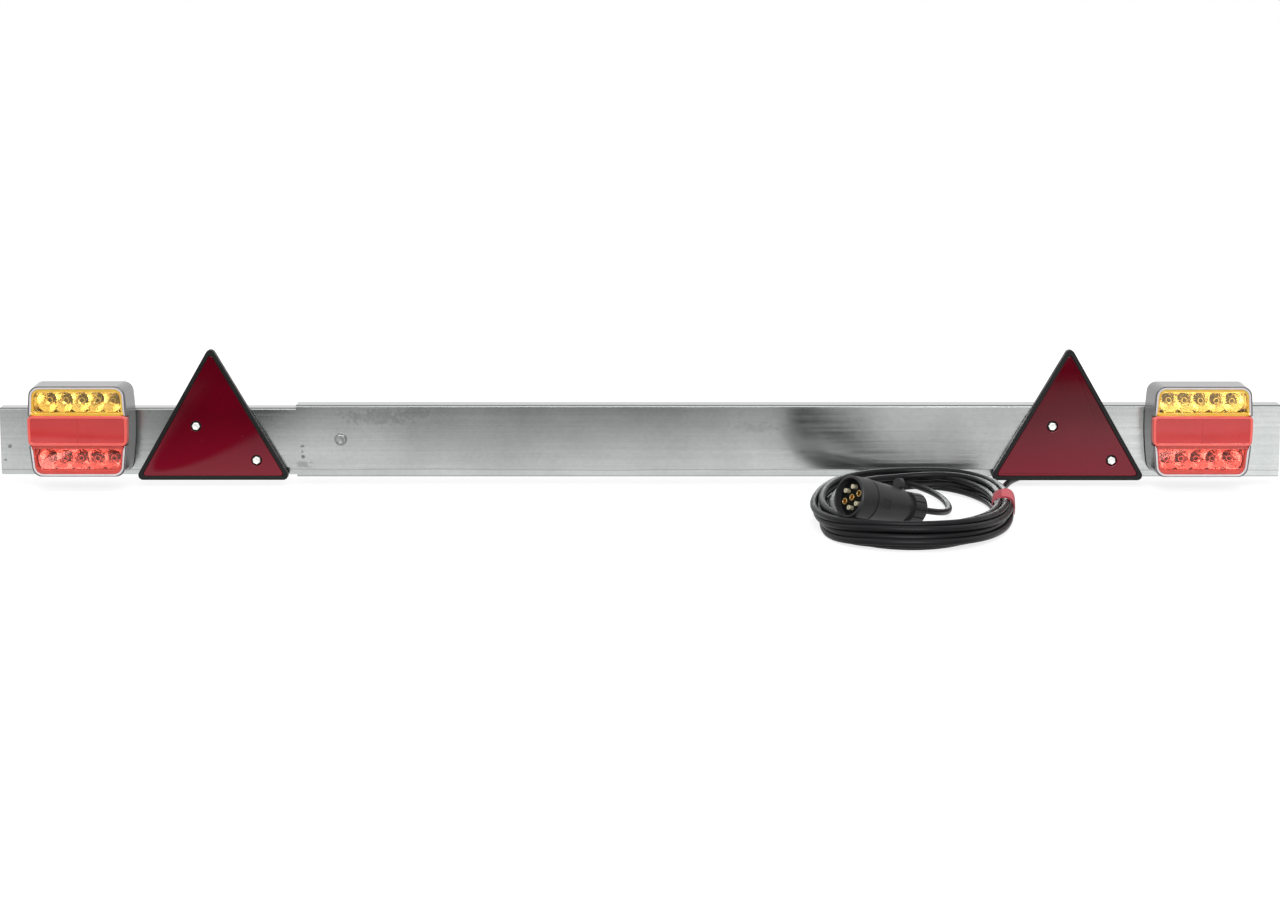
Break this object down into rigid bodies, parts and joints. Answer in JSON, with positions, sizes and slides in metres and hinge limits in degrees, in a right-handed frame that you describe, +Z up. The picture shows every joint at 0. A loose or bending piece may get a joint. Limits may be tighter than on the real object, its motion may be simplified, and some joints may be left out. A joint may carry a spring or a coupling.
{
  "type": "trailer lighting board",
  "caption": "Telescoping galvanised lighting board with a square LED lamp and a triangular reflector at each end, and a coiled cable with a seven-pin plug.",
  "frame": {"origin": "middle of the closed board's box, its free cable and plug left aside", "axes": "+X along the bar, away from the extending end; -Y the way the lamps face; +Z up"},
  "size_m": [1.328, 0.4645, 0.143],
  "materials": {
    "galvanised_sheet": "zinc coated, satin, lightly scuffed",
    "zinc_fastener": "bright zinc plate",
    "lamp_grey": "dark grey moulding, semi-gloss",
    "foam_black": "closed-cell foam",
    "rubber_black": "moulded rubber",
    "amber_lens": "clear amber, glossy",
    "red_lens": "clear red, glossy",
    "reflex_red": "red with prism backing, glossy",
    "metallised_cups": "bright metallised moulding",
    "circuit_board": "white solder mask",
    "led_clear": "clear resin",
    "frame_black": "moulded black, satin",
    "triangle_red": "deep red with prism backing, glossy",
    "cable_black": "smooth sheath, semi-gloss",
    "tie_red": "soft strap",
    "plug_black": "moulded, satin",
    "contact_brass": "turned brass"
  },
  "bodies": {
    "board": {"cable_coil": "cable_black", "cable_lead": "cable_black", "cable_tail": "cable_black", "cable_tie": "tie_red", "clamp_bolt": "zinc_fastener", "clamp_nut": "zinc_fastener", "clamp_washers": "zinc_fastener", "outer_channel": "galvanised_sheet", "plug_gland_nut": "plug_black", "plug_insert": "plug_black", "plug_pins": "contact_brass", "plug_shell": "plug_black", "plug_sleeves": "contact_brass", "right_amber_leds": "led_clear", "right_amber_lens": "amber_lens", "right_amber_reflector": "metallised_cups", "right_lamp_bolts": "zinc_fastener", "right_lamp_gasket": "foam_black", "right_lamp_grommet": "rubber_black", "right_lamp_housing": "lamp_grey", "right_led_board": "circuit_board", "right_red_leds": "led_clear", "right_red_lens": "red_lens", "right_red_reflector": "metallised_cups", "right_reflex_band": "reflex_red", "right_triangle_bolts": "zinc_fastener", "right_triangle_frame": "frame_black", "right_triangle_lens": "triangle_red", "right_web_nuts": "zinc_fastener", "right_web_washers": "zinc_fastener"},
    "extension": {"left_amber_leds": "led_clear", "left_amber_lens": "amber_lens", "left_amber_reflector": "metallised_cups", "left_lamp_bolts": "zinc_fastener", "left_lamp_gasket": "foam_black", "left_lamp_grommet": "rubber_black", "left_lamp_housing": "lamp_grey", "left_led_board": "circuit_board", "left_red_leds": "led_clear", "left_red_lens": "red_lens", "left_red_reflector": "metallised_cups", "left_reflex_band": "reflex_red", "left_triangle_bolts": "zinc_fastener", "left_triangle_frame": "frame_black", "left_triangle_lens": "triangle_red", "left_web_nuts": "zinc_fastener", "left_web_washers": "zinc_fastener", "inner_channel": "galvanised_sheet"}
  },
  "joints": [
    {"name": "extension_slide", "type": "slide", "parent": "board", "child": "extension", "axis": [-1, 0, 0], "range_m": [0, 0.5]}
  ]
}
